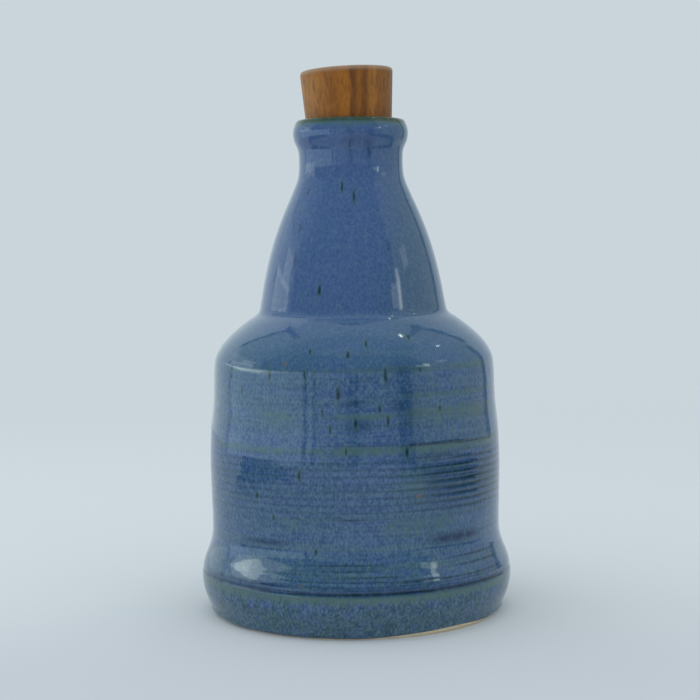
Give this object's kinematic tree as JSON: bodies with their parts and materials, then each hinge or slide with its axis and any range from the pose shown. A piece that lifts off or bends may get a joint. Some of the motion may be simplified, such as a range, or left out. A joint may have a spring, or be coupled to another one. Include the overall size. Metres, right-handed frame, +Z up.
{
  "type": "stoneware bottle",
  "caption": "Thrown stoneware water bottle with a swollen foot, round shoulder, tall cone neck, glossy blue-green glaze and a tapered wooden stopper that lifts out.",
  "frame": {"origin": "centre of the foot ring, on the surface that the bottle stands on", "axes": "+Z up along the bottle's axis, -Y towards the picture's camera, -X the way the stopper leans"},
  "size_m": [0.1244, 0.1244, 0.2161],
  "materials": {
    "clay": "bare fired stoneware, pale cream, fine and matte",
    "glaze": "glossy blue glaze, breaking to olive green on ridges, lip and the lowest band",
    "wood": "oiled brown hardwood, upright grain, satin",
    "seal": "soft milky silicone"
  },
  "bodies": {
    "bottle": {"bottle_body": "clay", "glaze_coat": "glaze"},
    "seal": {"seal_ring": "seal"},
    "stopper": {"stopper": "wood"}
  },
  "joints": [
    {"name": "stopper_lift", "type": "slide", "parent": "bottle", "child": "seal", "axis": [-0.0401, 0, 0.9992], "range_m": [0, 0.07]},
    {"name": "stopper_twist", "type": "hinge", "parent": "seal", "child": "stopper", "pos_m": [0, 0, 0.1826], "axis": [-0.0401, 0, 0.9992], "continuous": true}
  ]
}
